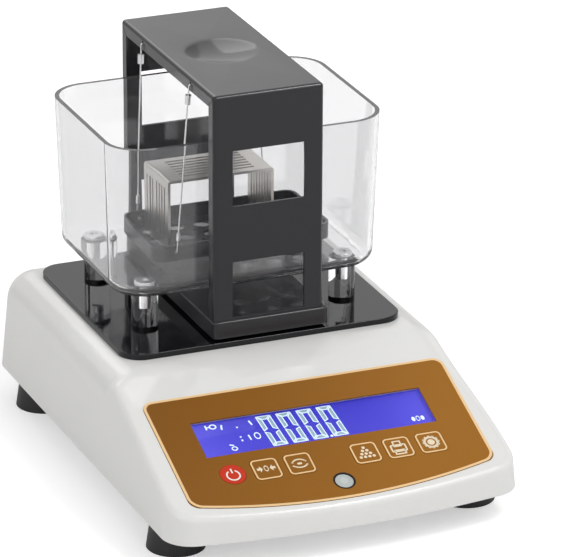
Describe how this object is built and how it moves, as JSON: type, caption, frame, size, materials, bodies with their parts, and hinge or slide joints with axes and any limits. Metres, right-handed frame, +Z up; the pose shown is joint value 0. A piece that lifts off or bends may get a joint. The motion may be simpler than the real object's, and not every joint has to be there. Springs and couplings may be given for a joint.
{
  "type": "electronic gold tester",
  "caption": "Bench density balance for gold: sloped key panel, weighing pan with portal, hanging perforated tray and slotted bridge in a clear water tank, on screw feet.",
  "frame": {"origin": "centre of the object's footprint, on the surface that its feet stand on", "axes": "+X to the right of a person facing the key panel, +Y from the panel to the rear, +Z up"},
  "size_m": [0.19, 0.2714, 0.2045],
  "materials": {
    "housing": "glossy moulded off-white",
    "black_plate": "polished black",
    "overlay": "printed satin film",
    "window": "clear",
    "lcd": "blue backlit display",
    "white_plastic": "diffuser",
    "circuit_board": "solder mask",
    "level_cup": "silver grey",
    "level_glass": "clear",
    "ribbon": "grey insulation",
    "lead": "black insulation",
    "black_plastic": "moulded",
    "port_shell": "nickel plated",
    "aluminium": "machined",
    "steel": "plated",
    "brass": "turned",
    "charcoal_metal": "satin charcoal",
    "ferrule": "crimped",
    "stainless": "bright",
    "clear_acrylic": "clear polished",
    "seal": "translucent",
    "red_key": "domed red",
    "key": "printed satin film",
    "foot": "moulded black"
  },
  "bodies": {
    "base": {"upper_housing": "housing", "lower_housing": "housing", "housing_screws": "steel", "foot_inserts": "brass", "deck_plate": "black_plate", "panel_overlay": "overlay", "display_window": "window", "lcd_module": "lcd", "backlight": "white_plastic", "display_board": "circuit_board", "dome_switches": "steel", "level_cup": "level_cup", "level_glass": "level_glass", "main_board": "circuit_board", "board_standoffs": "brass", "board_screws": "steel", "ribbon_cable": "ribbon", "cell_lead": "lead", "dc_jack": "black_plastic", "serial_port": "port_shell", "cell_riser": "aluminium", "load_cell": "aluminium", "cell_fixed_screws": "steel", "overload_stops": "steel"},
    "carrier": {"cell_free_screws": "steel", "pan_carrier": "aluminium", "pan_posts": "steel"},
    "pan": {"weigh_pan": "charcoal_metal"},
    "portal": {"portal_frame": "charcoal_metal"},
    "front_hangers": {"hanger_wire_front_left": "stainless", "hanger_wire_front_right": "stainless", "front_ferrules": "ferrule"},
    "rear_hangers": {"hanger_wire_rear_left": "stainless", "hanger_wire_rear_right": "stainless", "rear_ferrules": "ferrule"},
    "tray": {"hanging_tray": "charcoal_metal"},
    "bridge": {"sample_bridge": "stainless"},
    "tank": {"water_tank": "clear_acrylic", "leg_screws": "steel", "leg_seals": "seal", "tank_leg_front_left": "clear_acrylic", "tank_leg_front_right": "clear_acrylic", "tank_leg_rear_left": "clear_acrylic", "tank_leg_rear_right": "clear_acrylic"},
    "key_power": {"key_power": "red_key"},
    "key_zero": {"key_zero": "key"},
    "key_mode": {"key_mode": "key"},
    "key_enter": {"key_enter": "key"},
    "key_print": {"key_print": "key"},
    "key_set": {"key_set": "key"},
    "stem_front_left": {"foot_stem_front_left": "steel"},
    "foot_front_left": {"foot_front_left": "foot"},
    "stem_front_right": {"foot_stem_front_right": "steel"},
    "foot_front_right": {"foot_front_right": "foot"},
    "stem_rear_left": {"foot_stem_rear_left": "steel"},
    "foot_rear_left": {"foot_rear_left": "foot"},
    "stem_rear_right": {"foot_stem_rear_right": "steel"},
    "foot_rear_right": {"foot_rear_right": "foot"}
  },
  "joints": [
    {"name": "carrier_dip", "type": "slide", "parent": "base", "child": "carrier", "axis": [0, 0, 1], "range_m": [-0.0008, 0], "stiffness_N_per_m": 25000, "springref_m": 0.0003, "deforming": ["load_cell"]},
    {"name": "pan_lift", "type": "slide", "parent": "carrier", "child": "pan", "axis": [0, 0, 1], "range_m": [0, 0.01]},
    {"name": "portal_lift", "type": "slide", "parent": "pan", "child": "portal", "axis": [0, 0, 1], "range_m": [0, 0.1]},
    {"name": "front_hanger_swing", "type": "hinge", "parent": "portal", "child": "front_hangers", "pos_m": [0, 0.0149, 0.201], "axis": [1, 0, 0], "range_deg": [-8, 8]},
    {"name": "rear_hanger_swing", "type": "hinge", "parent": "portal", "child": "rear_hangers", "pos_m": [0, 0.0829, 0.201], "axis": [1, 0, 0], "range_deg": [-8, 8]},
    {"name": "tray_tilt", "type": "hinge", "parent": "front_hangers", "child": "tray", "pos_m": [0, 0.0226, 0.1089], "axis": [1, 0, 0], "range_deg": [-10.5, 10.5]},
    {"name": "bridge_lift", "type": "slide", "parent": "tray", "child": "bridge", "axis": [0, 0, 1], "range_m": [0, 0.05]},
    {"name": "tank_lift", "type": "slide", "parent": "base", "child": "tank", "axis": [0, 0, 1], "range_m": [0, 0.005]},
    {"name": "power_press", "type": "slide", "parent": "base", "child": "key_power", "axis": [0, 0.3665, -0.9304], "range_m": [0, 0.0004], "stiffness_N_per_m": 3000, "springref_m": -0.0001},
    {"name": "zero_press", "type": "slide", "parent": "base", "child": "key_zero", "axis": [0, 0.3665, -0.9304], "range_m": [0, 0.0004], "stiffness_N_per_m": 3000, "springref_m": -0.0001},
    {"name": "mode_press", "type": "slide", "parent": "base", "child": "key_mode", "axis": [0, 0.3665, -0.9304], "range_m": [0, 0.0004], "stiffness_N_per_m": 3000, "springref_m": -0.0001},
    {"name": "enter_press", "type": "slide", "parent": "base", "child": "key_enter", "axis": [0, 0.3665, -0.9304], "range_m": [0, 0.0004], "stiffness_N_per_m": 3000, "springref_m": -0.0001},
    {"name": "print_press", "type": "slide", "parent": "base", "child": "key_print", "axis": [0, 0.3665, -0.9304], "range_m": [0, 0.0004], "stiffness_N_per_m": 3000, "springref_m": -0.0001},
    {"name": "set_press", "type": "slide", "parent": "base", "child": "key_set", "axis": [0, 0.3665, -0.9304], "range_m": [0, 0.0004], "stiffness_N_per_m": 3000, "springref_m": -0.0001},
    {"name": "stem_front_left_travel", "type": "slide", "parent": "base", "child": "stem_front_left", "axis": [0, 0, -1], "range_m": [0, 0.005]},
    {"name": "foot_front_left_turn", "type": "hinge", "parent": "stem_front_left", "child": "foot_front_left", "pos_m": [-0.079, -0.092, 0.007], "axis": [0, 0, 1], "range_deg": [0, 1440]},
    {"name": "stem_front_right_travel", "type": "slide", "parent": "base", "child": "stem_front_right", "axis": [0, 0, -1], "range_m": [0, 0.005]},
    {"name": "foot_front_right_turn", "type": "hinge", "parent": "stem_front_right", "child": "foot_front_right", "pos_m": [0.079, -0.092, 0.007], "axis": [0, 0, 1], "range_deg": [0, 1440]},
    {"name": "stem_rear_left_travel", "type": "slide", "parent": "base", "child": "stem_rear_left", "axis": [0, 0, -1], "range_m": [0, 0.005]},
    {"name": "foot_rear_left_turn", "type": "hinge", "parent": "stem_rear_left", "child": "foot_rear_left", "pos_m": [-0.079, 0.101, 0.007], "axis": [0, 0, 1], "range_deg": [0, 1440]},
    {"name": "stem_rear_right_travel", "type": "slide", "parent": "base", "child": "stem_rear_right", "axis": [0, 0, -1], "range_m": [0, 0.005]},
    {"name": "foot_rear_right_turn", "type": "hinge", "parent": "stem_rear_right", "child": "foot_rear_right", "pos_m": [0.079, 0.101, 0.007], "axis": [0, 0, 1], "range_deg": [0, 1440]}
  ],
  "couplings": [
    {"joint": "rear_hanger_swing", "follows": "front_hanger_swing", "ratio": 1},
    {"joint": "tray_tilt", "follows": "front_hanger_swing", "ratio": -1.2928},
    {"joint": "stem_front_left_travel", "follows": "foot_front_left_turn", "m_per_rad": 0.00019894},
    {"joint": "stem_front_right_travel", "follows": "foot_front_right_turn", "m_per_rad": 0.00019894},
    {"joint": "stem_rear_left_travel", "follows": "foot_rear_left_turn", "m_per_rad": 0.00019894},
    {"joint": "stem_rear_right_travel", "follows": "foot_rear_right_turn", "m_per_rad": 0.00019894}
  ]
}
